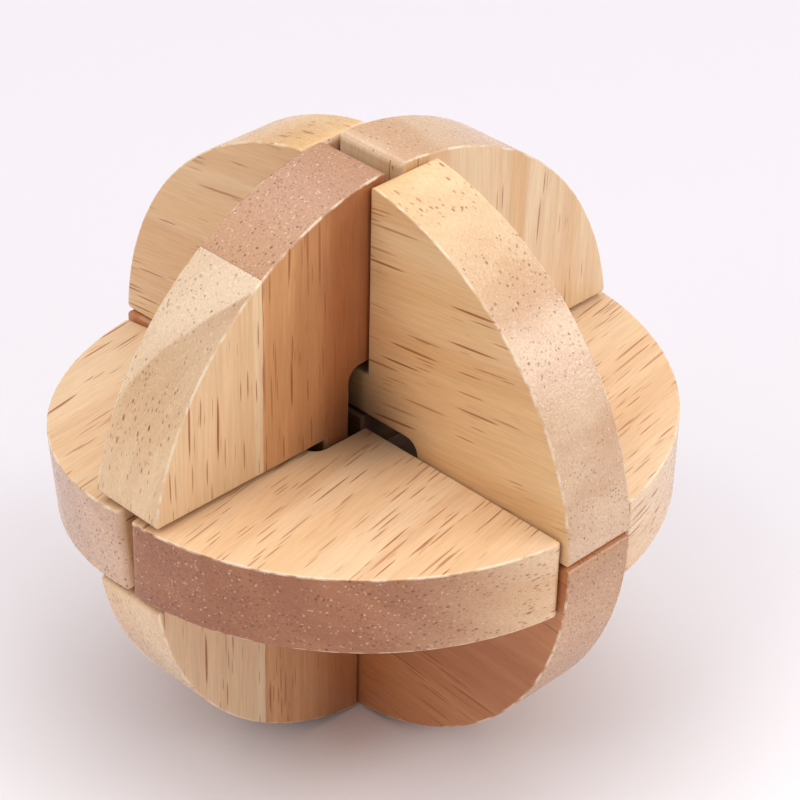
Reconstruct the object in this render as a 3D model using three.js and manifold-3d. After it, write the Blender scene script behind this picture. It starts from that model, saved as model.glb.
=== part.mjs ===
// A ball-shaped burr puzzle: three round boards crossing at right angles, each board in two halves.
// Millimetres, +Z up. The origin is the centre of the small sanded flat that the ball stands on.
//
// The three boards are the level board (lies flat), the upright board (faces -Y and +Y) and the
// cross board (faces -X and +X). Each half is drawn once in its own plane: u runs along its flat
// side, v points outward from the flat side to the rim, w is its thickness. It is then turned and
// shifted into place. The key half drops out first, which frees the level halves, then the cross
// halves, and leaves the top half.
import * as THREE from 'three';
import { mergeVertices } from 'three/addons/utils/BufferGeometryUtils.js';
import Module from 'manifold-3d';

const wasm = await Module();
wasm.setup();

// Driving dimensions.
const BALL_RADIUS = 40;
const BOARD = 10.8;
const SLIDE_GAP = 0.3;
const NOTCH_HALF = 14.4;
const NOTCH_CORNER = 1.8;
const EDGE = 0.7;
const FOOT_HALF = 4.5;
const ARC_STEP = THREE.MathUtils.degToRad(5);

// How far each flat side was planed back from a true half disc. The key stands proud instead.
const TRIM = { right: 1.6, left: 0.2, front: 2.4, back: 0.4, top: 2 };
const KEY_PROUD = 1.5;

// How far each half stands out of the closed ball, within its play.
const SEAM_GAP = 0.3;
const SHIFT = {
  right: 1, left: 0.05, front: 2.2, back: 0.2, top: KEY_PROUD + SEAM_GAP, key: -KEY_PROUD,
};

// The level halves lie loose: both a little towards +Y, and the left one sags at its rim.
const DRIFT = 0.2;
const SAG = THREE.MathUtils.degToRad(8);
const SAG_LIFT = 0.3;

// Room between each half's notch and the board that passes through it.
const ROOM = { right: 0.4, left: 1.1, front: 2.5, back: 0.5, top: 1.5, key: 1.6 };

// The same below the level board, where the cross halves reach in beside the key.
const LOW_ROOM = { front: 0.3, back: 0.5 };
const LOW_STEP = 3;

// The slots in the cross halves are higher than the level board, which can tilt in them.
const CROSS_SLOT = { up: BOARD / 2 + 0.5, down: BOARD / 2 + 0.8 };

// Play between a half's bridge and the arm ends beyond it.
const PLAY = { level: 3.5, cross: 4.5, top: 3.4 };

// The front cross half is glued up from staves, with this joint line from its flat side.
const GLUE_LINE = 20;
const GLUE_GAP = 0.2;

const SLOT_HALF = BOARD / 2 + SLIDE_GAP;
const TENON_HALF = BOARD / 2 - SLIDE_GAP;
const TENON_TOP = BOARD / 2 + ROOM.top - 2 * SLIDE_GAP;
const FOOT_DROP = Math.sqrt(BALL_RADIUS ** 2 - FOOT_HALF ** 2);
const BEYOND = 2 * BALL_RADIUS;

const COLOURS = { pale: 0xd9b98c, honey: 0xcfa878, brown: 0xb98a5e };

// Points on an arc from angle a0 to a1, both ends included.
function arc(centreU, centreV, radius, a0, a1, step) {
  const steps = Math.max(1, Math.ceil(Math.abs(a1 - a0) / step));
  const points = [];
  for (let i = 0; i <= steps; i += 1) {
    const a = a0 + ((a1 - a0) * i) / steps;
    points.push(new THREE.Vector2(centreU + radius * Math.cos(a), centreV + radius * Math.sin(a)));
  }
  return points;
}

// The outer rim between u = from and u = to, on the +u side or the -u side.
function rim(trim, from, to) {
  const angle = (u) => Math.acos(u / BALL_RADIUS);
  return arc(0, -trim, BALL_RADIUS, angle(from), angle(to), ARC_STEP);
}

// The depth of a half's notch, from its flat side.
function notchDepth(half) {
  return BOARD / 2 + ROOM[half] - SHIFT[half];
}

// Half the length of a chord at height v.
function chord(trim, v) {
  return Math.sqrt(BALL_RADIUS ** 2 - (v + trim) ** 2);
}

// A board half from its outline, with small chamfers, centred on its thickness.
function board(points) {
  const shape = new THREE.Shape(points);
  const geometry = new THREE.ExtrudeGeometry(shape, {
    depth: BOARD - 2 * EDGE,
    bevelEnabled: true,
    bevelThickness: EDGE,
    bevelSize: EDGE,
    bevelOffset: -EDGE,
    bevelSegments: 1,
  });
  return geometry.translate(0, 0, EDGE - BOARD / 2);
}

// The notch in the flat side, as its outline from -u to +u.
function notch(depth) {
  const innerU = NOTCH_HALF - NOTCH_CORNER;
  const innerV = depth - NOTCH_CORNER;
  const quarter = Math.PI / 2;
  return [
    new THREE.Vector2(-NOTCH_HALF, 0),
    ...arc(-innerU, innerV, NOTCH_CORNER, Math.PI, quarter, quarter / 3),
    ...arc(innerU, innerV, NOTCH_CORNER, quarter, 0, quarter / 3),
    new THREE.Vector2(NOTCH_HALF, 0),
  ];
}

// The slot in the rim that the crossing board's arms lie in, as its outline from +u to -u.
function rimSlot(bottom, up = SLOT_HALF, down = SLOT_HALF) {
  return [
    new THREE.Vector2(up, bottom),
    new THREE.Vector2(-down, bottom),
  ];
}

// A half with arms at both ends of its flat side and a slot at the middle of its rim.
function armedOutline(half, bridgeTop) {
  const trim = TRIM[half];
  const end = chord(trim, 0);
  return [
    ...notch(notchDepth(half)),
    ...rim(trim, end, SLOT_HALF),
    ...rimSlot(bridgeTop),
    ...rim(trim, -SLOT_HALF, -end),
  ];
}

// A cross half: an arm at the top end only. Its lower end is cut back to clear the key.
function crossOutline(half) {
  const trim = TRIM[half];
  const depth = notchDepth(half);
  const low = BOARD / 2 + LOW_ROOM[half] - SHIFT[half];
  const step = [new THREE.Vector2(-LOW_STEP, low), new THREE.Vector2(-LOW_STEP, depth)];
  const innerU = NOTCH_HALF - NOTCH_CORNER;
  const innerV = depth - NOTCH_CORNER;
  const quarter = Math.PI / 2;
  return [
    ...arc(innerU, innerV, NOTCH_CORNER, quarter, 0, quarter / 3),
    new THREE.Vector2(NOTCH_HALF, 0),
    ...rim(trim, chord(trim, 0), CROSS_SLOT.up),
    ...rimSlot(NOTCH_HALF - PLAY.cross, CROSS_SLOT.up, CROSS_SLOT.down),
    ...rim(trim, -CROSS_SLOT.down, -chord(trim, low)),
    ...(low < depth - EDGE ? step : []),
  ];
}

// The key half: solid at its rim, where a small flat is sanded for the ball to stand on. A tenon
// stands in the middle of its notch and fills the ball's core.
function keyOutline() {
  const overhang = Math.asin(KEY_PROUD / BALL_RADIUS);
  const fromCentre = (a0, a1) => arc(0, KEY_PROUD, BALL_RADIUS, a0, a1, ARC_STEP);
  const footAngle = Math.asin(FOOT_HALF / BALL_RADIUS);
  const depth = notchDepth('key');
  const sides = notch(depth);
  const middle = sides.length / 2;
  const tenonEnd = KEY_PROUD - TENON_TOP;
  return [
    ...sides.slice(0, middle),
    new THREE.Vector2(-TENON_HALF, depth),
    new THREE.Vector2(-TENON_HALF, tenonEnd),
    new THREE.Vector2(TENON_HALF, tenonEnd),
    new THREE.Vector2(TENON_HALF, depth),
    ...sides.slice(middle),
    ...fromCentre(-overhang, Math.PI / 2 - footAngle),
    ...fromCentre(Math.PI / 2 + footAngle, Math.PI + overhang),
  ];
}

// A closed solid for cutting and splitting.
function solid(geometry) {
  const bare = geometry.clone();
  bare.deleteAttribute('normal');
  bare.deleteAttribute('uv');
  const merged = mergeVertices(bare, 1e-4);
  return new wasm.Manifold(new wasm.Mesh({
    numProp: 3,
    vertProperties: new Float32Array(merged.attributes.position.array),
    triVerts: new Uint32Array(merged.index.array),
  }));
}

function geometryOf(manifold) {
  const mesh = manifold.getMesh();
  const geometry = new THREE.BufferGeometry();
  geometry.setAttribute('position', new THREE.BufferAttribute(mesh.vertProperties, 3));
  geometry.setIndex(new THREE.BufferAttribute(mesh.triVerts, 1));
  geometry.computeVertexNormals();
  return geometry;
}

// A box between two corners in a half's own plane.
function block(u0, u1, v0, v1, w0, w1) {
  const geometry = new THREE.BoxGeometry(u1 - u0, v1 - v0, w1 - w0);
  geometry.translate((u0 + u1) / 2, (v0 + v1) / 2, (w0 + w1) / 2);
  return solid(geometry);
}

// A level half. Its bridge is lower than the board, so it passes under the top half's arms.
function levelHalf(half) {
  const whole = solid(board(armedOutline(half, NOTCH_HALF - PLAY.level)));
  const bridgeHeight = SHIFT.top - SLIDE_GAP;
  return geometryOf(whole.subtract(block(-SLOT_HALF, SLOT_HALF, 0, BEYOND, bridgeHeight, BOARD)));
}

function topHalf() {
  return board(armedOutline('top', NOTCH_HALF - PLAY.top));
}

function keyHalf() {
  return board(keyOutline());
}

function crossHalf(half) {
  return board(crossOutline(half));
}

// The staves of the front cross half: one inner, and an upper and a lower one outside its glue line.
function frontStaves() {
  const whole = solid(crossHalf('front'));
  const inside = GLUE_LINE - GLUE_GAP / 2;
  const outside = GLUE_LINE + GLUE_GAP / 2;
  const cut = (u0, u1, v0, v1) => geometryOf(whole.intersect(block(u0, u1, v0, v1, -BOARD, BOARD)));
  return {
    inner: cut(-BEYOND, BEYOND, -BEYOND, inside),
    upper: cut(0, BEYOND, outside, BEYOND),
    lower: cut(-BEYOND, 0, outside, BEYOND),
  };
}

// Turns a half's own axes to the given directions and shifts it outward from the ball's centre.
function place(name, geometry, colour, u, v, shift, drift = new THREE.Vector3()) {
  const material = new THREE.MeshStandardMaterial({ color: colour, roughness: 0.5, metalness: 0 });
  const mesh = new THREE.Mesh(geometry, material);
  mesh.name = name;
  const w = new THREE.Vector3().crossVectors(u, v);
  mesh.quaternion.setFromRotationMatrix(new THREE.Matrix4().makeBasis(u, v, w));
  mesh.position.copy(v).multiplyScalar(shift).add(drift);
  return mesh;
}

const X = new THREE.Vector3(1, 0, 0);
const Y = new THREE.Vector3(0, 1, 0);
const Z = new THREE.Vector3(0, 0, 1);
const SAGGING_LEFT = new THREE.Vector3(-Math.cos(SAG), 0, -Math.sin(SAG));
const FRONT = Y.clone().negate();
const DOWN = Z.clone().negate();

const ball = new THREE.Group();
const staves = frontStaves();
ball.add(
  place('level_half_right', levelHalf('right'), COLOURS.honey, FRONT, X, SHIFT.right,
    new THREE.Vector3(0, DRIFT, 0)),
  place('level_half_left', levelHalf('left'), COLOURS.honey, Y, SAGGING_LEFT, SHIFT.left,
    new THREE.Vector3(0, DRIFT, SAG_LIFT)),
  place('cross_half_front_inner_stave', staves.inner, COLOURS.brown, Z, FRONT, SHIFT.front),
  place('cross_half_front_upper_stave', staves.upper, COLOURS.pale, Z, FRONT, SHIFT.front),
  place('cross_half_front_lower_stave', staves.lower, COLOURS.pale, Z, FRONT, SHIFT.front),
  place('cross_half_back', crossHalf('back'), COLOURS.honey, Z, Y, SHIFT.back),
  place('upright_half_top', topHalf(), COLOURS.pale, X, Z, SHIFT.top),
  place('key_half_bottom', keyHalf(), COLOURS.honey, X, DOWN, SHIFT.key),
);
ball.position.z = FOOT_DROP;

const group = new THREE.Group();
group.add(ball);

export default group;
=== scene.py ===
"""The looks of a ball-shaped wooden burr puzzle: six half boards of pale, waxed hardwood.

Each half is modelled flat in its own plane, with x along its flat side, y outward to its rim and
z through its thickness, and is then turned into its place in the ball. Metres, +Z up.
"""

import math

import bmesh
import bpy
from bpy.props import FloatProperty, FloatVectorProperty, PointerProperty
from mathutils import Matrix, Vector


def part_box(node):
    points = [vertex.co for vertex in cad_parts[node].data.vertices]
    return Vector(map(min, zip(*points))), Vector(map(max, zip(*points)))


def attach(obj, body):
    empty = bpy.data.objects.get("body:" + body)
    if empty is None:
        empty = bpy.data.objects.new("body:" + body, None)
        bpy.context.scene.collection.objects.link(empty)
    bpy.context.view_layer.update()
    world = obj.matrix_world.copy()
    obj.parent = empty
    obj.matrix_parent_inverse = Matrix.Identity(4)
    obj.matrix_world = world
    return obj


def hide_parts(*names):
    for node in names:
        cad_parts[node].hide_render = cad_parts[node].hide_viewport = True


bl_info = {
    "name": "Wooden Ball Burr",
    "version": (1, 0, 0),
    "blender": (4, 5, 0),
    "location": "View3D > Sidebar > Ball Burr",
    "description": "Models a ball-shaped burr puzzle of six interlocking half boards",
    "category": "Add Mesh",
}

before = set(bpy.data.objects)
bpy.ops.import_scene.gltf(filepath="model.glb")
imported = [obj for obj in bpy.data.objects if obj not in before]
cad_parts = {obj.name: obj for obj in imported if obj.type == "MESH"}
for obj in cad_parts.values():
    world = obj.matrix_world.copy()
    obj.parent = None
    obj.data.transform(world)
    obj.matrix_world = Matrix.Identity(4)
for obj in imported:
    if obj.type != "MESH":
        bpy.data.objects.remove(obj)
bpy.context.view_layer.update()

MM = 0.001

# Two coordinates closer than SAME are equal, and a point closer than ON_RIM to the rim is on it.
SAME = 0.01 * MM
ON_RIM = 0.02 * MM
NEAR_RIM = 0.1 * MM

# How much of a face's normal points through the board, on its flat sides and on its edges.
FLAT = 0.999
UPRIGHT = 0.01

RIM_STEPS = 300
FLOOR_STEPS = 96
CORNER_STEPS = 8
EDGE_STEPS = 4
MERGE = 1e-6
SMOOTH_BELOW = math.radians(30)

RIGHT = Vector((1, 0, 0))
BACK = Vector((0, 1, 0))
UP = Vector((0, 0, 1))


# Sizes and colours -------------------------------------------------------------------------------


def length(name, description, millimetres):
    """A length that shows in the sidebar."""
    return FloatProperty(
        name=name,
        description=description,
        default=millimetres * MM,
        min=0.0,
        unit="LENGTH",
        subtype="DISTANCE",
        precision=4,
    )


def colour(name, description, rgb):
    """A linear colour that shows in the sidebar."""
    return FloatVectorProperty(
        name=name,
        description=description,
        default=rgb,
        min=0.0,
        max=1.0,
        subtype="COLOR",
        size=3,
    )


class BurrSizes(bpy.types.PropertyGroup):
    """Sizes that all the halves share."""

    radius: length("Ball radius", "Radius of the round boards", 40)
    drift: length("Drift", "How far the level halves lie towards +Y", 0.2)
    left_lift: length("Left lift", "Left half's flat side over the ball's middle", 0.3)
    left_shift: length("Left shift", "Flat side of the left half from the ball's middle", 0.05)
    left_trim: length("Left trim", "How far the left half's flat side was planed back", 0.2)
    slot_half: length("Half slot", "Half the width of a rim slot", 5.7)
    notch_half: length("Half notch", "Half the length of the notch in a flat side", 14.4)
    notch_corner: length("Notch corner", "Radius in the notch's inner corners", 1.8)
    level_bridge: length("Level bridge", "Flat side to the top of a level bridge", 10.9)
    cross_bridge: length("Cross bridge", "Flat side to the top of a cross bridge", 9.9)
    top_bridge: length("Top bridge", "Flat side to the top of the top half's bridge", 11)
    right_notch: length("Right notch", "Depth of the right level half's notch", 4.8)
    left_notch: length("Left notch", "Depth of the left level half's notch", 6.45)
    cross_notch: length("Cross notch", "Depth of a cross half's notch", 5.7)
    top_notch: length("Top notch", "Depth of the top half's notch", 5.1)
    front_low: length("Front low end", "The front half's flat side to its edge by the key", 3.5)
    low_step: length("Low step", "Where that edge starts under the ball's middle", 3)
    cross_slot_up: length("Cross slot, up", "Top of a cross half's slot over the middle", 5.9)
    cross_slot_down: length("Cross slot, down", "Foot of a cross half's slot under it", 6.2)
    key_notch: length("Key notch", "Depth of the notch in the key", 8.5)
    key_proud: length("Key proud", "How far the key's flat side passes the ball's middle", 1.5)
    tenon_half: length("Half tenon", "Half the width of the key's tenon", 5.1)
    bridge_height: length("Bridge height", "Top of a level bridge over the ball's middle", 1.5)
    glue_line: length("Glue line", "Flat side to the glue line of the front half", 20)
    glue: length("Glue", "Thickness of the glue between two staves", 0.05)
    foot_half: length("Half foot", "Half the width of the flat under the key", 4.5)
    arm_round: length("Arm rounding", "Radius where an arm's end meets the rim", 1.0)
    rim_round: length("Rim rounding", "Radius between a rim and a board's side", 0.24)
    side_round: length("Side rounding", "Radius along sawn edges", 0.5)


class BurrColours(bpy.types.PropertyGroup):
    """Colours of the wood and the set."""

    pore: colour("Pore", "Reddish brown of the open vessels along the grain", (0.37, 0.12, 0.04))
    pore_end: colour("Pore end", "Dark red of vessels cut across", (0.11, 0.03, 0.012))
    fleck: colour("Fleck", "Pale flecks of wax and dust on the rims", (0.93, 0.72, 0.52))
    # Painted shade for the inner corners around the ball's middle.
    painted_shade: colour("Painted shade", "Painted shade on the wood around the ball's middle", (0.10, 0.035, 0.014))
    worn: colour("Worn edge", "Pale line where the edges are rubbed", (0.95, 0.80, 0.60))
    # The table's paint near the camera and towards the back; the change between them is painted
    # light.
    floor_near: colour("Floor, near", "Pale table top", (0.86, 0.83, 0.855))
    floor_far: colour("Floor, far", "Pale table top towards the back", (0.73, 0.695, 0.735))


# Modelling steps ---------------------------------------------------------------------------------


def only(piece):
    """Leaves one piece selected and active, in object mode."""
    if bpy.context.object and bpy.context.object.mode != "OBJECT":
        bpy.ops.object.mode_set(mode="OBJECT")
    bpy.ops.object.select_all(action="DESELECT")
    piece.select_set(True)
    bpy.context.view_layer.objects.active = piece


def edit(piece, select_mode):
    """Opens one piece in edit mode with nothing selected, and returns its mesh for selecting."""
    only(piece)
    bpy.ops.object.mode_set(mode="EDIT")
    bpy.ops.mesh.select_mode(type=select_mode)
    bpy.ops.mesh.select_all(action="DESELECT")
    return bmesh.from_edit_mesh(piece.data)


def round_board(name, radius, thickness, centre):
    """A whole round board, its centre on the y axis."""
    bpy.ops.object.select_all(action="DESELECT")
    bpy.ops.mesh.primitive_cylinder_add(
        vertices=RIM_STEPS, radius=radius, depth=thickness, location=(0, centre, 0)
    )
    board = bpy.context.object
    board.name = name
    board.data.name = name
    bpy.ops.object.transform_apply(location=True, rotation=True, scale=True)
    return board


def saw(piece, place, normal):
    """Cuts a piece along a plane and keeps what lies on the side that the normal points to."""
    edit(piece, "VERT")
    bpy.ops.mesh.select_all(action="SELECT")
    bpy.ops.mesh.bisect(
        plane_co=place, plane_no=normal, use_fill=True, clear_inner=True, threshold=1e-7
    )
    bpy.ops.object.mode_set(mode="OBJECT")


def cutter(low, high):
    """A box between two corners."""
    bpy.ops.object.select_all(action="DESELECT")
    low, high = Vector(low), Vector(high)
    bpy.ops.mesh.primitive_cube_add(size=1, location=(low + high) / 2)
    box = bpy.context.object
    box.scale = high - low
    bpy.ops.object.transform_apply(location=True, rotation=True, scale=True)
    return box


def round_cutter(box, top, radius):
    """Rounds the box's upright edges on the side y = top."""
    mesh = edit(box, "EDGE")
    for edge in mesh.edges:
        a, b = (v.co for v in edge.verts)
        upright = abs(a.x - b.x) < SAME and abs(a.y - b.y) < SAME
        if upright and abs(a.y - top) < SAME:
            edge.select_set(True)
    bmesh.update_edit_mesh(box.data)
    bpy.ops.mesh.bevel(offset=radius, segments=CORNER_STEPS, affect="EDGES")
    bpy.ops.object.mode_set(mode="OBJECT")


def cut_away(piece, tool):
    """Cuts the tool's shape out of the piece and throws the tool away."""
    only(piece)
    step = piece.modifiers.new("cut", "BOOLEAN")
    step.operation = "DIFFERENCE"
    step.solver = "EXACT"
    step.object = tool
    bpy.ops.object.modifier_apply(modifier=step.name)
    only(tool)
    bpy.ops.object.delete()
    only(piece)


def merge_flat_faces(piece):
    """Joins the flat faces that sawing and cutting have split."""
    edit(piece, "VERT")
    bpy.ops.mesh.select_all(action="SELECT")
    bpy.ops.mesh.remove_doubles(threshold=MERGE)
    bpy.ops.mesh.dissolve_limited(angle_limit=math.radians(0.1))
    bpy.ops.object.mode_set(mode="OBJECT")


def face_kind(face, centre, radius):
    """Tells a board's flat sides, its rim and its sawn faces apart."""
    if abs(face.normal.z) > FLAT:
        return "side"
    if all(abs(math.hypot(v.co.x, v.co.y - centre) - radius) < ON_RIM for v in face.verts):
        return "rim"
    return "sawn"


def thin_out_rim(piece, centre, radius, reach):
    """Dissolves rim steps close to the sawn ends, to leave room for a wide rounding there."""
    mesh = edit(piece, "EDGE")
    ends = []
    for edge in mesh.edges:
        if {face_kind(f, centre, radius) for f in edge.link_faces} == {"rim", "sawn"}:
            ends.append((edge.verts[0].co + edge.verts[1].co) / 2)
    for edge in mesh.edges:
        middle = (edge.verts[0].co + edge.verts[1].co) / 2
        across_rim = {face_kind(f, centre, radius) for f in edge.link_faces} == {"rim"}
        if across_rim and any((middle - end).length < reach for end in ends):
            edge.select_set(True)
    bmesh.update_edit_mesh(piece.data)
    bpy.ops.mesh.dissolve_edges(use_verts=True)
    bpy.ops.object.mode_set(mode="OBJECT")


def round_edges(piece, sizes, centre):
    """Rounds every outer edge: wide at the arms' ends, fine along the rim."""
    thin_out_rim(piece, centre, sizes.radius, 1.5 * sizes.arm_round)
    widths = {
        frozenset(("rim", "sawn")): sizes.arm_round,
        frozenset(("rim", "side")): sizes.rim_round,
        frozenset(("sawn", "side")): sizes.side_round,
    }
    mesh = bmesh.new()
    mesh.from_mesh(piece.data)
    weights = mesh.edges.layers.float.get("bevel_weight_edge")
    weights = weights or mesh.edges.layers.float.new("bevel_weight_edge")
    for edge in mesh.edges:
        kinds = frozenset(face_kind(f, centre, sizes.radius) for f in edge.link_faces)
        width = widths.get(kinds, 0.0)
        if edge.is_convex:
            edge[weights] = width / sizes.arm_round
    mesh.to_mesh(piece.data)
    mesh.free()
    only(piece)
    step = piece.modifiers.new("rounding", "BEVEL")
    step.limit_method = "WEIGHT"
    step.width = sizes.arm_round
    step.segments = EDGE_STEPS
    step.use_clamp_overlap = False
    bpy.ops.object.modifier_apply(modifier=step.name)


SAWN_WEAR = 0.35  # How rubbed sawn edges are, where the rim's edges are 1


def mark_surfaces(piece, sizes, centre, grain):
    """Stores what each face is: red for rubbed edges, green for cut-across grain, blue for rim."""
    marks = piece.data.color_attributes.new("surface", "FLOAT_COLOR", "CORNER")
    for face in piece.data.polygons:
        normal = face.normal
        middle = face.center
        outward = Vector((middle.x, middle.y - centre, 0))
        off_rim = abs(outward.length - sizes.radius)
        upright = abs(normal.z) < UPRIGHT
        rim = upright and off_rim < NEAR_RIM
        if upright or abs(normal.z) > FLAT:
            rubbed = 0.0
        else:
            rubbed = 1.0 if off_rim < 2 * sizes.rim_round else SAWN_WEAR
        across = abs(normal.dot(grain))
        for corner in face.loop_indices:
            marks.data[corner].color = (rubbed, across, float(rim), 1.0)


def finish_mesh(piece):
    """Shades the piece smooth between its real corners, with its flat faces kept flat."""
    only(piece)
    bpy.ops.object.shade_smooth_by_angle(angle=SMOOTH_BELOW)
    step = piece.modifiers.new("normals", "WEIGHTED_NORMAL")
    step.keep_sharp = True
    bpy.ops.object.modifier_apply(modifier=step.name)


def put_in_place(piece, along, outward, drift=(0, 0, 0)):
    """Turns a flat-drawn piece into the ball and lifts it to the ball's centre."""
    through = along.cross(outward)
    turn = Matrix((along, outward, through)).transposed().to_4x4()
    piece.matrix_world = Matrix.Translation(ball_centre() + Vector(drift)) @ turn
    only(piece)
    bpy.ops.object.transform_apply(location=True, rotation=True, scale=True)


def ball_centre():
    """The point where the three boards cross: the level board's mid height, over the origin."""
    low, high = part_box("level_half_right")
    return Vector((0, 0, (low.z + high.z) / 2))


def reach(nodes, outward):
    """How far the given nodes lie from the ball's centre, least and most, along a direction."""
    axis = max(range(3), key=lambda i: abs(outward[i]))
    sign = outward[axis]
    middle = ball_centre()[axis]
    ends = [(corner[axis] - middle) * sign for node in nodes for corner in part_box(node)]
    return min(ends), max(ends)


def board_thickness():
    """Thickness that all the boards share."""
    low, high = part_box("level_half_right")
    return high.z - low.z


def sawn_half(name, sizes, flat, centre):
    """A round board sawn along its flat side."""
    piece = round_board(name, sizes.radius, board_thickness(), centre)
    saw(piece, (0, flat, 0), (0, 1, 0))
    return piece


def cut_notch(piece, sizes, flat, depth, low=None):
    """The notch in the flat side. A cross half is also cut back to a low edge beside the key."""
    beyond = 2 * sizes.radius
    start = -sizes.notch_half if low is None else -sizes.low_step
    tool = cutter((start, -beyond, -beyond), (sizes.notch_half, flat + depth, beyond))
    round_cutter(tool, flat + depth, sizes.notch_corner)
    cut_away(piece, tool)
    if low is not None:
        inside = start + sizes.notch_corner
        cut_away(piece, cutter((-beyond, -beyond, -beyond), (start, flat + low, beyond)))
        cut_away(piece, cutter((start, -beyond, -beyond), (inside, flat + depth, beyond)))


def cut_rim_slot(piece, sizes, bottom, up, down):
    """The slot in the rim for the crossing board's arms."""
    beyond = 2 * sizes.radius
    cut_away(piece, cutter((-down, bottom, -beyond), (up, beyond, beyond)))


def lower_bridge(piece, sizes, bottom):
    """Takes the top off a level half's bridge, so the top half's arms pass over it."""
    beyond = 2 * sizes.radius
    half = sizes.slot_half
    low = (-half, -beyond, sizes.bridge_height)
    cut_away(piece, cutter(low, (half, bottom + sizes.slot_half, beyond)))


# Materials ---------------------------------------------------------------------------------------


class Tree:
    """Short ways to add and join the nodes of one material."""

    def __init__(self, name):
        self.material = bpy.data.materials.new(name)
        self.material.use_nodes = True
        self.nodes = self.material.node_tree.nodes
        self.links = self.material.node_tree.links
        self.nodes.clear()

    def add(self, kind, **settings):
        """Adds a node with the given settings."""
        node = self.nodes.new(kind)
        for key, value in settings.items():
            setattr(node, key, value)
        return node

    def feed(self, socket, value):
        """Joins a socket to a value, a colour or another node's output."""
        if isinstance(value, bpy.types.NodeSocket):
            self.links.new(value, socket)
        else:
            socket.default_value = value

    def maths(self, operation, a, b=0.0):
        """One sum on two values."""
        node = self.add("ShaderNodeMath", operation=operation)
        self.feed(node.inputs[0], a)
        self.feed(node.inputs[1], b)
        return node.outputs[0]

    def remap(self, value, low, high, to_low=0.0, to_high=1.0):
        """Smoothly maps low..high to to_low..to_high."""
        node = self.add("ShaderNodeMapRange", interpolation_type="SMOOTHSTEP")
        self.feed(node.inputs["Value"], value)
        self.feed(node.inputs["From Min"], low)
        self.feed(node.inputs["From Max"], high)
        self.feed(node.inputs["To Min"], to_low)
        self.feed(node.inputs["To Max"], to_high)
        return node.outputs["Result"]

    def blend(self, factor, a, b, mode="MIX"):
        """Blends two colours."""
        node = self.add("ShaderNodeMix", data_type="RGBA", blend_type=mode)
        self.feed(node.inputs["Factor"], factor)
        self.feed(node.inputs[6], a)
        self.feed(node.inputs[7], b)
        return node.outputs[2]

    def stretched(self, vector, scale, shift=(0, 0, 0)):
        """Scales a place, so a pattern gets so many cells to the metre each way."""
        node = self.add("ShaderNodeMapping")
        self.feed(node.inputs["Vector"], vector)
        node.inputs["Scale"].default_value = scale
        node.inputs["Location"].default_value = shift
        return node.outputs["Vector"]

    def noise(self, vector, detail=2.0, roughness=0.5):
        """Cloudy noise."""
        node = self.add("ShaderNodeTexNoise")
        self.feed(node.inputs["Vector"], vector)
        node.inputs["Scale"].default_value = 1.0
        node.inputs["Detail"].default_value = detail
        node.inputs["Roughness"].default_value = roughness
        return node

    def cells(self, vector):
        """Cells with a random colour each, and the distance to their middles."""
        node = self.add("ShaderNodeTexVoronoi")
        self.feed(node.inputs["Vector"], vector)
        node.inputs["Scale"].default_value = 1.0
        return node


def rgba(rgb):
    """A colour with full alpha."""
    return (*rgb, 1.0)


# Cells to the metre along the grain, across the growth layers, and along them.
WANDER = (22, 90, 90)
BROAD = (5, 130, 60)
STRIPES = (9, 420, 110)
BANDS = (8, 1250, 70)
FIBRE = (150, 3400, 3400)
SPECK = (2300, 2900, 2900)
FINE_VESSELS = (130, 2300, 2300)
LONG_VESSELS = (62, 1550, 1550)
FLECKS = (1300, 1700, 1700)
PATCHES = (420, 420, 420)

WANDER_REACH = 2.2 * MM
SEED_STEP = Vector((0.11, 0.071, 0.053))
ZONE_WAVE = 2.4 * MM
# Painted shade around the ball's middle: strongest within the first distance, gone beyond the
# second.
PAINTED_SHADE_INSIDE = 8 * MM
PAINTED_SHADE_OUTSIDE = 22 * MM
PAINTED_SHADE_MOST = 0.8
FINE_RADIUS = 0.29
LONG_RADIUS = 0.28
RELIEF = 0.12 * MM


def grain_place(tree, grain, layers, seed):
    """Object coordinates turned so x runs along the grain and y across the growth layers."""
    grain = grain.normalized()
    third = grain.cross(layers).normalized()
    across = third.cross(grain)
    source = tree.add("ShaderNodeTexCoord")
    turn = tree.add("ShaderNodeMapping")
    tree.feed(turn.inputs["Vector"], source.outputs["Object"])
    turn.inputs["Rotation"].default_value = Matrix((grain, across, third)).to_euler("XYZ")
    turn.inputs["Location"].default_value = SEED_STEP * seed
    wander = tree.noise(tree.stretched(turn.outputs["Vector"], WANDER), detail=1.0)
    centred = tree.add("ShaderNodeVectorMath", operation="SUBTRACT")
    tree.feed(centred.inputs[0], wander.outputs["Color"])
    centred.inputs[1].default_value = (0.5, 0.5, 0.5)
    small = tree.add("ShaderNodeVectorMath", operation="MULTIPLY")
    tree.feed(small.inputs[0], centred.outputs[0])
    small.inputs[1].default_value = (0.0, WANDER_REACH, WANDER_REACH)
    moved = tree.add("ShaderNodeVectorMath", operation="ADD")
    tree.feed(moved.inputs[0], turn.outputs["Vector"])
    tree.feed(moved.inputs[1], small.outputs[0])
    return moved.outputs[0]


def vessels(tree, place, scale, radius, keep):
    """Long thin pores along the grain: streaks on a board's side, dots where it is cut across."""
    cells = tree.cells(tree.stretched(place, scale))
    split = tree.add("ShaderNodeSeparateColor")
    tree.feed(split.inputs[0], cells.outputs["Color"])
    chosen = tree.maths("LESS_THAN", split.outputs[0], keep)
    size = tree.remap(split.outputs[1], 0.0, 1.0, radius * 0.6, radius * 1.25)
    core = tree.maths("DIVIDE", cells.outputs["Distance"], size)
    inside = tree.remap(core, 1.0, 0.6)
    strength = tree.remap(split.outputs[2], 0.0, 1.0, 0.55, 1.0)
    return tree.maths("MULTIPLY", tree.maths("MULTIPLY", inside, chosen), strength)


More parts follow.
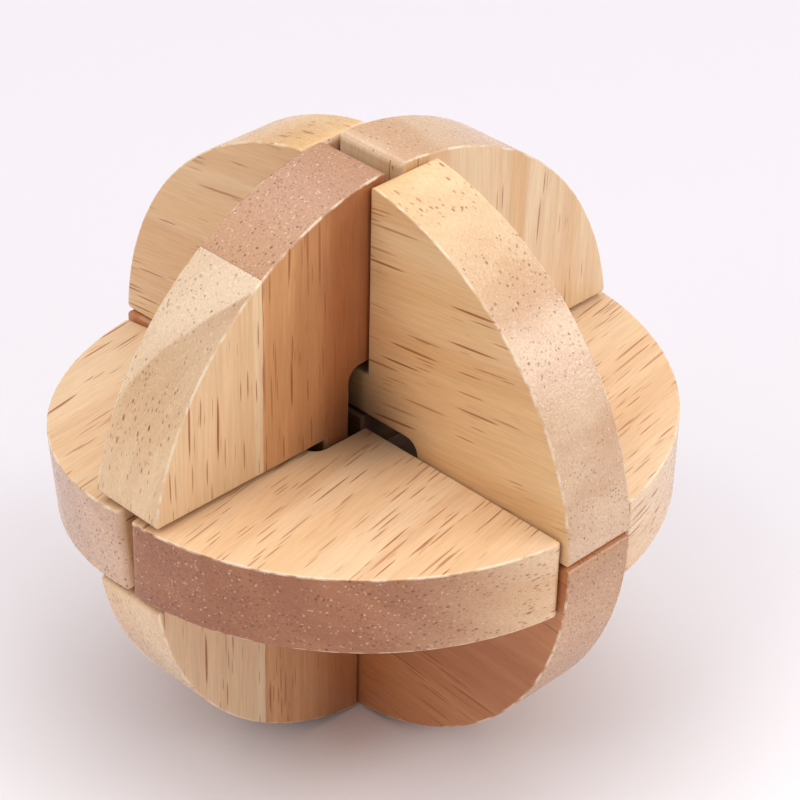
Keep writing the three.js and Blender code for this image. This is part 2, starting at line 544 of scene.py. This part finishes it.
def growth_tone(tree, place, zone):
    """Broad light and dark growth, from 0 to 1. A zone sets where one turns into the other."""
    broad = tree.noise(tree.stretched(place, BROAD), detail=3.0, roughness=0.55)
    drift = tree.remap(broad.outputs[0], 0.34, 0.66)
    if zone is None:
        return drift
    toward, start, end = zone
    source = tree.add("ShaderNodeTexCoord")
    measure = tree.add("ShaderNodeVectorMath", operation="DOT_PRODUCT")
    tree.feed(measure.inputs[0], source.outputs["Object"])
    measure.inputs[1].default_value = toward.normalized()
    wavy = tree.maths("MULTIPLY_ADD", broad.outputs[0], ZONE_WAVE)
    tree.feed(wavy.node.inputs[2], measure.outputs["Value"])
    grown = tree.remap(wavy, start + ZONE_WAVE / 2, end + ZONE_WAVE / 2)
    return tree.blend(0.25, grown, drift)


def centre_painted_shade(tree):
    """Painted shade that darkens the wood around the ball's middle, where its inner corners lie in
    shade.
    """
    source = tree.add("ShaderNodeTexCoord")
    away = tree.add("ShaderNodeVectorMath", operation="DISTANCE")
    tree.feed(away.inputs[0], source.outputs["Object"])
    away.inputs[1].default_value = ball_centre()
    return tree.remap(away.outputs["Value"], PAINTED_SHADE_INSIDE, PAINTED_SHADE_OUTSIDE, PAINTED_SHADE_MOST, 0.0)


def wood(name, look, colours):
    """Pale open-pored hardwood under a thin coat of wax."""
    tree = Tree(name)
    place = grain_place(tree, look["grain"], look["layers"], look["seed"])
    surface = tree.add("ShaderNodeAttribute", attribute_name="surface")
    marks = tree.add("ShaderNodeSeparateColor")
    tree.feed(marks.inputs[0], surface.outputs["Color"])
    rubbed, across, rim = marks.outputs[0], marks.outputs[1], marks.outputs[2]
    across = tree.remap(across, 0.25, 0.85)

    stripes = tree.noise(tree.stretched(place, STRIPES), detail=2.0, roughness=0.5)
    bands = tree.noise(tree.stretched(place, BANDS), detail=3.0, roughness=0.6)
    fibre = tree.noise(tree.stretched(place, FIBRE), detail=2.0, roughness=0.7)
    speck = tree.noise(tree.stretched(place, SPECK), detail=1.0)

    tone = growth_tone(tree, place, look["zone"])
    side = tree.blend(tone, rgba(look["pale"]), rgba(look["deep"]))
    stripe = tree.remap(stripes.outputs[0], 0.48, 0.66, 0.0, look["stripes"])
    side = tree.blend(stripe, side, rgba(look["late"]))
    band = tree.remap(bands.outputs[0], 0.5, 0.75, 0.0, look["bands"])
    side = tree.blend(band, side, rgba(look["late"]))
    end = tree.blend(tone, rgba(look["end_pale"]), rgba(look["end_deep"]))
    end = tree.blend(tree.maths("MULTIPLY", band, 0.5), end, rgba(look["late"]))
    base = tree.blend(across, side, end)
    grainy = tree.remap(fibre.outputs[0], 0.3, 0.7, 0.93, 1.06)
    base = tree.blend(1.0, base, grainy, "MULTIPLY")

    rows = tree.remap(stripes.outputs[0], 0.36, 0.56, 0.4, 1.0)
    fine_keep = tree.maths("MULTIPLY", rows, look["fine"])
    fine = vessels(tree, place, FINE_VESSELS, FINE_RADIUS, fine_keep)
    long_keep = tree.maths("MULTIPLY", rows, look["long"])
    long = vessels(tree, place, LONG_VESSELS, LONG_RADIUS, long_keep)
    pores = tree.maths("MAXIMUM", tree.maths("MULTIPLY", fine, 0.8), long)
    pore_colour = tree.blend(across, rgba(colours.pore), rgba(colours.pore_end))
    pore_strength = tree.maths("MULTIPLY", pores, tree.remap(across, 0.0, 1.0, 0.95, 0.7))
    base = tree.blend(pore_strength, base, pore_colour)

    flecks = tree.cells(tree.stretched(place, FLECKS, (3, 5, 7)))
    fleck = tree.remap(flecks.outputs["Distance"], 0.34, 0.16)
    fleck = tree.maths("MULTIPLY", fleck, tree.remap(speck.outputs[0], 0.48, 0.62))
    fleck = tree.maths("MULTIPLY", fleck, tree.maths("MULTIPLY", rim, across))
    base = tree.blend(tree.maths("MULTIPLY", fleck, 0.5), base, rgba(colours.fleck))

    patchy = tree.noise(tree.stretched(place, PATCHES), detail=2.0)
    worn = tree.maths("MULTIPLY", rubbed, tree.remap(patchy.outputs[0], 0.42, 0.62, 0.0, 0.6))
    base = tree.blend(worn, base, rgba(colours.worn))
    # Painted shade: the wood darkens towards the ball's middle.
    base = tree.blend(centre_painted_shade(tree), base, rgba(colours.painted_shade))

    shine = tree.remap(speck.outputs[0], 0.3, 0.7, look["rough"] - 0.07, look["rough"] + 0.1)
    shine = tree.maths("ADD", shine, tree.maths("MULTIPLY", pores, 0.2))
    shine = tree.maths("SUBTRACT", shine, tree.maths("MULTIPLY", rim, 0.12))

    shader = tree.add("ShaderNodeBsdfPrincipled")
    tree.feed(shader.inputs["Base Color"], base)
    tree.feed(shader.inputs["Roughness"], shine)
    shader.inputs["Specular IOR Level"].default_value = 0.45
    shader.inputs["Coat Weight"].default_value = 0.25
    shader.inputs["Coat Roughness"].default_value = 0.25
    tree.feed(shader.inputs["Normal"], wood_relief(tree, fibre, speck, pores, bands, rim))
    out = tree.add("ShaderNodeOutputMaterial")
    tree.feed(out.inputs["Surface"], shader.outputs[0])
    return tree.material


def wood_relief(tree, fibre, speck, pores, bands, rim):
    """Fine relief: raised fibres, sunk pores, and a rougher sanded rim."""
    fibres = tree.maths("MULTIPLY", fibre.outputs[0], 0.35)
    sanded = tree.maths("MULTIPLY", speck.outputs[0], tree.maths("MULTIPLY", rim, 1.3))
    layers = tree.maths("MULTIPLY", bands.outputs[0], 0.35)
    height = tree.maths("ADD", tree.maths("ADD", fibres, sanded), layers)
    height = tree.maths("SUBTRACT", height, tree.maths("MULTIPLY", pores, 0.8))
    bump = tree.add("ShaderNodeBump")
    bump.inputs["Strength"].default_value = 0.4
    bump.inputs["Distance"].default_value = RELIEF
    tree.feed(bump.inputs["Height"], height)
    return bump.outputs[0]


HONEY = {
    "pale": (0.82, 0.585, 0.365),
    "deep": (0.76, 0.48, 0.26),
    "late": (0.62, 0.32, 0.14),
    "end_pale": (0.41, 0.155, 0.062),
    "end_deep": (0.33, 0.11, 0.042),
    "zone": None,
    "stripes": 0.25,
    "bands": 0.18,
    "fine": 1.0,
    "long": 1.0,
    "rough": 0.42,
}
PALE = {
    **HONEY,
    "pale": (0.82, 0.57, 0.315),
    "deep": (0.76, 0.47, 0.22),
    "end_pale": (0.72, 0.50, 0.33),
    "end_deep": (0.62, 0.38, 0.23),
}
BROWN = {
    **HONEY,
    "pale": (0.74, 0.40, 0.18),
    "deep": (0.41, 0.145, 0.05),
    "late": (0.38, 0.13, 0.04),
    "end_pale": (0.56, 0.31, 0.18),
    "end_deep": (0.48, 0.245, 0.14),
}


def direction(along, outward, degrees):
    """A grain direction: along the flat side, turned a little outward."""
    angle = math.radians(degrees)
    return along * math.cos(angle) + outward * math.sin(angle)


def look(base, grain, layers, seed, **changes):
    """A wood's look on one piece, with its grain and its own place in the pattern."""
    return {**base, "grain": grain, "layers": layers, "seed": seed, **changes}


def finish_piece(piece, node, body, material):
    """Gives a piece its material, its body and the node that it stands for."""
    piece.data.materials.clear()
    piece.data.materials.append(material)
    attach(piece, body)
    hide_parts(node)


# The pieces --------------------------------------------------------------------------------------

# Degrees between a half's grain and its flat side, and how far the left half's rim sags.
LEVEL_GRAIN = 9
TOP_GRAIN = 7
KEY_GRAIN = 3
LEFT_SAG = math.radians(8)


def armed_half(name, sizes, flat, centre, notch, bridge):
    """A half with an arm at each end, up to its rounded edges."""
    piece = sawn_half(name, sizes, flat, centre)
    cut_notch(piece, sizes, flat, notch)
    cut_rim_slot(piece, sizes, flat + bridge, sizes.slot_half, sizes.slot_half)
    return piece


def cross_half(name, sizes, flat, centre, low):
    """A cross half, up to its rounded edges."""
    piece = sawn_half(name, sizes, flat, centre)
    cut_notch(piece, sizes, flat, sizes.cross_notch, low)
    bottom = flat + sizes.cross_bridge
    cut_rim_slot(piece, sizes, bottom, sizes.cross_slot_up, sizes.cross_slot_down)
    return piece


def measured(nodes, outward, sizes, slot):
    """Flat side and rim centre of a half, from how far its solids reach beside its slot."""
    flat, far = reach(nodes, outward)
    return flat, far - math.sqrt(sizes.radius**2 - slot**2)


def shape_key(name, sizes, node):
    """The key up to its rounded edges: a tenon in its notch and a small flat under its rim."""
    tenon_end, _ = reach([node], -UP)
    flat = -sizes.key_proud
    piece = sawn_half(name, sizes, tenon_end, 0.0)
    beyond = 2 * sizes.radius
    for side in (-1, 1):
        near, corner = side * sizes.tenon_half, side * sizes.notch_half
        ends = sorted((near, side * beyond))
        cut_away(piece, cutter((ends[0], -beyond, -beyond), (ends[1], flat, beyond)))
        ends = sorted((near, corner))
        bottom = flat + sizes.key_notch
        tool = cutter((ends[0], -beyond, -beyond), (ends[1], bottom, beyond))
        round_cutter(tool, bottom, sizes.notch_corner)
        cut_away(piece, tool)
    foot = math.sqrt(sizes.radius**2 - sizes.foot_half**2)
    saw(piece, (0, foot, 0), (0, -1, 0))
    return piece


def complete_half(piece, sizes, centre, along, outward, grain):
    """Joins the flat faces of a half, then rounds and marks it."""
    merge_flat_faces(piece)
    round_edges(piece, sizes, centre)
    local = Vector((grain.dot(along), grain.dot(outward), 0)).normalized()
    mark_surfaces(piece, sizes, centre, local)


class BURR_OT_level_halves(bpy.types.Operator):
    """Model the two halves of the level board"""

    bl_idname = "burr.level_halves"
    bl_label = "Level halves"

    def execute(self, context):
        sizes = context.scene.burr_sizes
        colours = context.scene.burr_colours
        grain = direction(BACK, -RIGHT, LEVEL_GRAIN)
        layers = UP * 0.8 + RIGHT * 0.6
        sagging = -RIGHT * math.cos(LEFT_SAG) - UP * math.sin(LEFT_SAG)
        flat, centre = measured(["level_half_right"], RIGHT, sizes, sizes.slot_half)
        left_flat = sizes.left_shift
        right = (-BACK, RIGHT, 0.0, flat, centre, sizes.right_notch)
        left_centre = left_flat - sizes.left_trim
        left = (BACK, sagging, sizes.left_lift, left_flat, left_centre, sizes.left_notch)
        looks = {
            "right": look(HONEY, grain, layers, 1.0),
            # The left half's cut-across grain is painted paler than the right half's: painted
            # light for the light that falls on its rim from the left.
            "left": look(
                HONEY, grain, layers, 2.3, fine=0.5, end_pale=(0.68, 0.43, 0.28),
                end_deep=(0.58, 0.34, 0.21),
            ),
        }
        for side, row in (("right", right), ("left", left)):
            along, outward, lift, flat, centre, notch = row
            node = f"level_half_{side}"
            piece = armed_half(f"wood_{node}", sizes, flat, centre, notch, sizes.level_bridge)
            lower_bridge(piece, sizes, flat + sizes.level_bridge)
            complete_half(piece, sizes, centre, along, outward, grain)
            finish_mesh(piece)
            put_in_place(piece, along, outward, (0, sizes.drift, lift))
            material = wood(f"{side}_level_wood", looks[side], colours)
            finish_piece(piece, node, side, material)
        return {"FINISHED"}


class BURR_OT_upright_top(bpy.types.Operator):
    """Model the top half of the upright board"""

    bl_idname = "burr.upright_top"
    bl_label = "Top half"

    def execute(self, context):
        sizes = context.scene.burr_sizes
        node = "upright_half_top"
        grain = direction(RIGHT, UP, TOP_GRAIN)
        flat, centre = measured([node], UP, sizes, sizes.slot_half)
        piece = armed_half(
            "wood_upright_half_top", sizes, flat, centre, sizes.top_notch, sizes.top_bridge
        )
        complete_half(piece, sizes, centre, RIGHT, UP, grain)
        finish_mesh(piece)
        put_in_place(piece, RIGHT, UP)
        finish = look(PALE, grain, UP, 3.1, fine=0.45, long=0.5)
        material = wood("top_wood", finish, context.scene.burr_colours)
        finish_piece(piece, node, "top", material)
        return {"FINISHED"}


class BURR_OT_key(bpy.types.Operator):
    """Model the key, the bottom half of the upright board"""

    bl_idname = "burr.key"
    bl_label = "Key half"

    def execute(self, context):
        sizes = context.scene.burr_sizes
        node = "key_half_bottom"
        grain = direction(RIGHT, -UP, KEY_GRAIN)
        piece = shape_key("wood_key_half_bottom", sizes, node)
        complete_half(piece, sizes, 0.0, RIGHT, -UP, grain)
        finish_mesh(piece)
        put_in_place(piece, RIGHT, -UP)
        finish = look(
            HONEY, grain, UP, 4.7, pale=(0.56, 0.22, 0.08), deep=(0.46, 0.16, 0.053), fine=0.5,
            end_pale=(0.58, 0.32, 0.165), end_deep=(0.50, 0.26, 0.13),
        )
        material = wood("key_wood", finish, context.scene.burr_colours)
        finish_piece(piece, node, "key", material)
        return {"FINISHED"}


class BURR_OT_cross_halves(bpy.types.Operator):
    """Model the two halves of the cross board, the front one from three glued staves"""

    bl_idname = "burr.cross_halves"
    bl_label = "Cross halves"

    def execute(self, context):
        sizes = context.scene.burr_sizes
        self.back(sizes, context.scene.burr_colours)
        self.front(sizes, context.scene.burr_colours)
        return {"FINISHED"}

    def back(self, sizes, colours):
        """The back half, cut from one board."""
        node = "cross_half_back"
        flat, centre = measured([node], BACK, sizes, sizes.cross_slot_up)
        piece = cross_half("wood_cross_half_back", sizes, flat, centre, sizes.cross_notch)
        complete_half(piece, sizes, centre, UP, BACK, UP)
        finish_mesh(piece)
        put_in_place(piece, UP, BACK)
        finish = look(PALE, UP, BACK, 5.9, pale=(0.86, 0.66, 0.43), fine=0.3, long=0.2)
        material = wood("back_wood", finish, colours)
        finish_piece(piece, node, "back", material)

    def front(self, sizes, colours):
        """The front half, sawn apart along its glue line."""
        outward = -BACK
        names = ("inner_stave", "upper_stave", "lower_stave")
        nodes = [f"cross_half_front_{name}" for name in names]
        flat, centre = measured(nodes, outward, sizes, sizes.cross_slot_up)
        whole = cross_half("wood_front", sizes, flat, centre, sizes.front_low)
        complete_half(whole, sizes, centre, UP, outward, UP)
        joint = flat + sizes.glue_line
        inner = ((0, joint - sizes.glue / 2, 0), (0, -1, 0))
        outer = ((0, joint + sizes.glue / 2, 0), (0, 1, 0))
        cuts = {
            "inner_stave": (inner,),
            "upper_stave": (outer, ((0, 0, 0), (1, 0, 0))),
            "lower_stave": (outer, ((0, 0, 0), (-1, 0, 0))),
        }
        across_joint = RIGHT * 1.15 - BACK
        pale_wedge = (across_joint, 19.3 * MM, 19.9 * MM)
        # The inner stave turns browner towards the ball's middle: partly its own tone, partly
        # painted shade.
        browning_and_painted_shade = (BACK, -21.5 * MM, -9 * MM)
        light_look = look(
            PALE, UP, across_joint, 6.4, zone=pale_wedge, fine=0.8, long=0.25,
            pale=(0.88, 0.68, 0.44), deep=(0.80, 0.54, 0.31),
            end_pale=(0.80, 0.60, 0.42), end_deep=(0.56, 0.35, 0.21),
        )
        dark_look = look(BROWN, UP, BACK, 7.7, zone=browning_and_painted_shade, fine=0.9, long=0.3)
        light = wood("outer_stave_wood", light_look, colours)
        dark = wood("inner_stave_wood", dark_look, colours)
        for name, node in zip(names, nodes):
            only(whole)
            bpy.ops.object.duplicate()
            stave = bpy.context.object
            stave.name = f"wood_{node}"
            stave.data.name = stave.name
            for place, normal in cuts[name]:
                saw(stave, place, normal)
            finish_mesh(stave)
            put_in_place(stave, UP, outward)
            inside = name == "inner_stave"
            finish_piece(stave, node, "front", dark if inside else light)
        only(whole)
        bpy.ops.object.delete()


# The set -----------------------------------------------------------------------------------------

CAMERA_TURN = math.radians(44.34)
CAMERA_HEIGHT = math.radians(33.8)
CAMERA_ROLL = math.radians(1.43)
CAMERA_DISTANCE = 0.3556
CAMERA_LENS = 125.8
AIM_RIGHT = 4.54 * MM
AIM_UP = 3.22 * MM

FLOOR_RADIUS = 8
# Where the floor's painted light runs from the near colour to the far one, along the camera's
# heading.
FLOOR_NEAR = -0.06
FLOOR_FAR = 0.10
ROOM_COLOUR = (0.96, 0.92, 0.93, 1)
ROOM_STRENGTH = 0.22
LIGHT_DISTANCE = 1.6

# Name, direction from the ball, size in metres, power in watts.
SOFTBOXES = (
    ("softbox_top", (-0.22, 0.23, 1.0), 1.7, 20),
    ("softbox_back_right", (0.62, 0.594, 0.42), 0.55, 7),
    ("softbox_left", (-0.25, -1.0, 1.1), 1.2, 11.5),
    ("softbox_right", (1.0, 0.1, 1.1), 1.2, 8),
)


def floor_colour_and_painted_light(colours):
    """A pale, matt table top, painted lighter near the camera and darker towards the back, along
    the camera's heading: the table's own pale colour with painted light on it.
    """
    tree = Tree("floor_colour_and_painted_light")
    source = tree.add("ShaderNodeTexCoord")
    measure = tree.add("ShaderNodeVectorMath", operation="DOT_PRODUCT")
    tree.feed(measure.inputs[0], source.outputs["Object"])
    # Painted light: the paint changes along the camera's heading.
    measure.inputs[1].default_value = (-math.sin(CAMERA_TURN), math.cos(CAMERA_TURN), 0)
    far = tree.remap(measure.outputs["Value"], FLOOR_NEAR, FLOOR_FAR)
    paint = tree.blend(far, rgba(colours.floor_near), rgba(colours.floor_far))
    shader = tree.add("ShaderNodeBsdfPrincipled")
    tree.feed(shader.inputs["Base Color"], paint)
    shader.inputs["Roughness"].default_value = 0.7
    shader.inputs["Specular IOR Level"].default_value = 0.15
    out = tree.add("ShaderNodeOutputMaterial")
    tree.feed(out.inputs["Surface"], shader.outputs[0])
    return tree.material


def soft_light(name, toward, size, power):
    """A square softbox that looks at the ball from the given direction."""
    place = ball_centre() + Vector(toward).normalized() * LIGHT_DISTANCE
    bpy.ops.object.light_add(type="AREA", location=place)
    light = bpy.context.object
    light.name = name
    light.data.size = size
    light.data.energy = power
    light.rotation_euler = (place - ball_centre()).to_track_quat("Z", "Y").to_euler()


def aim_camera():
    """Sets the camera up, looking down at the ball with a long lens."""
    turn, height = CAMERA_TURN, CAMERA_HEIGHT
    level_back = Vector((math.sin(turn), -math.cos(turn), 0))
    back = level_back * math.cos(height) + UP * math.sin(height)
    level_right = (-back).cross(UP).normalized()
    level_up = level_right.cross(-back)
    right = level_right * math.cos(CAMERA_ROLL) + level_up * math.sin(CAMERA_ROLL)
    up = level_up * math.cos(CAMERA_ROLL) - level_right * math.sin(CAMERA_ROLL)
    place = ball_centre() + back * CAMERA_DISTANCE + right * AIM_RIGHT + up * AIM_UP
    bpy.ops.object.camera_add()
    camera = bpy.context.object
    camera.name = "camera"
    turned = Matrix((right, up, back)).transposed().to_4x4()
    camera.matrix_world = Matrix.Translation(place) @ turned
    camera.data.lens = CAMERA_LENS
    camera.data.clip_start = 0.01
    bpy.context.scene.camera = camera


class BURR_OT_stage(bpy.types.Operator):
    """Set up the floor, the soft lights and the camera"""

    bl_idname = "burr.stage"
    bl_label = "Floor, lights and camera"

    def execute(self, context):
        bpy.ops.object.select_all(action="DESELECT")
        bpy.ops.mesh.primitive_circle_add(
            vertices=FLOOR_STEPS, radius=FLOOR_RADIUS, fill_type="NGON"
        )
        floor = context.object
        floor.name = "floor"
        floor.data.materials.append(floor_colour_and_painted_light(context.scene.burr_colours))
        world = bpy.data.worlds.new("pale_room")
        world.use_nodes = True
        sky = world.node_tree.nodes["Background"]
        sky.inputs["Color"].default_value = ROOM_COLOUR
        sky.inputs["Strength"].default_value = ROOM_STRENGTH
        context.scene.world = world
        for softbox in SOFTBOXES:
            soft_light(*softbox)
        aim_camera()
        context.scene.view_settings.view_transform = "Standard"
        return {"FINISHED"}


class BURR_PT_panel(bpy.types.Panel):
    """The puzzle's sizes, colours and building steps"""

    bl_idname = "BURR_PT_panel"
    bl_label = "Ball Burr"
    bl_space_type = "VIEW_3D"
    bl_region_type = "UI"
    bl_category = "Ball Burr"

    def draw(self, context):
        layout = self.layout
        for group in (context.scene.burr_sizes, context.scene.burr_colours):
            box = layout.box()
            for name in group.bl_rna.properties.keys():
                if name not in {"rna_type", "name"}:
                    box.prop(group, name)
        for step in STEPS:
            layout.operator(step.bl_idname)


STEPS = (
    BURR_OT_level_halves,
    BURR_OT_cross_halves,
    BURR_OT_upright_top,
    BURR_OT_key,
    BURR_OT_stage,
)
CLASSES = (BurrSizes, BurrColours, *STEPS, BURR_PT_panel)


def register():
    """Adds the add-on's classes and its settings."""
    for cls in CLASSES:
        bpy.utils.register_class(cls)
    bpy.types.Scene.burr_sizes = PointerProperty(type=BurrSizes)
    bpy.types.Scene.burr_colours = PointerProperty(type=BurrColours)


def unregister():
    """Takes them away again."""
    del bpy.types.Scene.burr_colours
    del bpy.types.Scene.burr_sizes
    for cls in reversed(CLASSES):
        bpy.utils.unregister_class(cls)


def main():
    """Builds the puzzle and its set."""
    register()
    bpy.ops.burr.level_halves()
    bpy.ops.burr.cross_halves()
    bpy.ops.burr.upright_top()
    bpy.ops.burr.key()
    bpy.ops.burr.stage()


if __name__ == "__main__":
    main()
